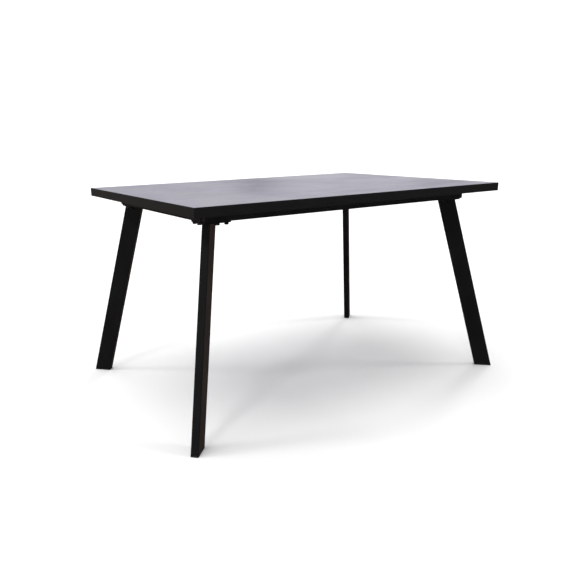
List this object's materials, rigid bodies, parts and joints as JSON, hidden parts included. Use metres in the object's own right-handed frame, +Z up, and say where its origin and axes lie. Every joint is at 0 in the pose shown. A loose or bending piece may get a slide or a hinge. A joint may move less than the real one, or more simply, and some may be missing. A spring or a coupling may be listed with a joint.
{
  "type": "extendable dining table",
  "caption": "Extendable dining table with a centre-split concrete-look top on splayed steel legs; geared halves part over a stored folding leaf.",
  "frame": {"origin": "on the floor under the centre of the table", "axes": "+X along the table to its right end, +Y to its back long side, +Z up"},
  "size_m": [1.4002, 0.9352, 0.75],
  "materials": {
    "concrete_laminate": "matt melamine face with a cloudy mid-grey concrete print",
    "edge_band": "fine-textured near-black edge strip",
    "black_powder_coat": "fine-textured matt black powder coat",
    "aluminium_slide": "satin extruded aluminium",
    "zinc_plate": "bright zinc plating",
    "black_zinc": "black zinc plating",
    "nylon_gear": "natural moulded nylon",
    "black_plastic": "matt moulded polyethylene",
    "beech": "fluted beech dowel"
  },
  "bodies": {
    "base": {"foot_glide_back_left": "black_plastic", "foot_glide_back_right": "black_plastic", "foot_glide_front_left": "black_plastic", "foot_glide_front_right": "black_plastic", "frame_end_rail_left": "black_powder_coat", "frame_end_rail_right": "black_powder_coat", "frame_rail_back": "black_powder_coat", "frame_rail_front": "black_powder_coat", "gear_bracket": "zinc_plate", "leaf_hinge_left_lower_flap": "zinc_plate", "leaf_hinge_left_pin": "zinc_plate", "leaf_hinge_left_upper_flap": "zinc_plate", "leaf_hinge_right_lower_flap": "zinc_plate", "leaf_hinge_right_pin": "zinc_plate", "leaf_hinge_right_upper_flap": "zinc_plate", "leaf_panel_lower": "concrete_laminate", "leaf_panel_upper": "concrete_laminate", "leaf_tray_bar_left": "black_powder_coat", "leaf_tray_bar_right": "black_powder_coat", "leg_back_left": "black_powder_coat", "leg_back_right": "black_powder_coat", "leg_front_left": "black_powder_coat", "leg_front_right": "black_powder_coat", "leg_plate_back_left": "black_powder_coat", "leg_plate_back_right": "black_powder_coat", "leg_plate_front_left": "black_powder_coat", "leg_plate_front_right": "black_powder_coat", "pinion_shoulder_bolt": "zinc_plate", "plate_bolt_back_left_1": "black_zinc", "plate_bolt_back_left_2": "black_zinc", "plate_bolt_back_left_3": "black_zinc", "plate_bolt_back_left_4": "black_zinc", "plate_bolt_back_right_1": "black_zinc", "plate_bolt_back_right_2": "black_zinc", "plate_bolt_back_right_3": "black_zinc", "plate_bolt_back_right_4": "black_zinc", "plate_bolt_front_left_1": "black_zinc", "plate_bolt_front_left_2": "black_zinc", "plate_bolt_front_left_3": "black_zinc", "plate_bolt_front_left_4": "black_zinc", "plate_bolt_front_right_1": "black_zinc", "plate_bolt_front_right_2": "black_zinc", "plate_bolt_front_right_3": "black_zinc", "plate_bolt_front_right_4": "black_zinc"},
    "left_half": {"edge_band_left": "edge_band", "latch_base": "zinc_plate", "slide_runner_left_back": "aluminium_slide", "slide_runner_left_front": "aluminium_slide", "sync_rack_left": "nylon_gear", "tabletop_left": "concrete_laminate"},
    "right_half": {"edge_band_right": "edge_band", "latch_keeper": "zinc_plate", "seam_dowel_back": "beech", "seam_dowel_front": "beech", "slide_runner_right_back": "aluminium_slide", "slide_runner_right_front": "aluminium_slide", "sync_rack_right": "nylon_gear", "tabletop_right": "concrete_laminate"},
    "pinion": {"sync_pinion": "nylon_gear"},
    "latch": {"latch_lever": "zinc_plate"}
  },
  "joints": [
    {"name": "left_half_slide", "type": "slide", "parent": "base", "child": "left_half", "axis": [-1, 0, 0], "range_m": [0, 0.25]},
    {"name": "right_half_slide", "type": "slide", "parent": "base", "child": "right_half", "axis": [1, 0, 0], "range_m": [0, 0.25]},
    {"name": "pinion_turn", "type": "hinge", "parent": "base", "child": "pinion", "pos_m": [0, -0.248, 0.7], "axis": [0, 0, 1], "range_deg": [-358.2, 0]},
    {"name": "latch_turn", "type": "hinge", "parent": "left_half", "child": "latch", "pos_m": [-0.022, 0.284, 0.715], "axis": [0, 0, 1], "range_deg": [0, 35]}
  ],
  "couplings": [
    {"joint": "right_half_slide", "follows": "left_half_slide", "ratio": 1},
    {"joint": "pinion_turn", "follows": "left_half_slide", "rad_per_m": -25}
  ]
}
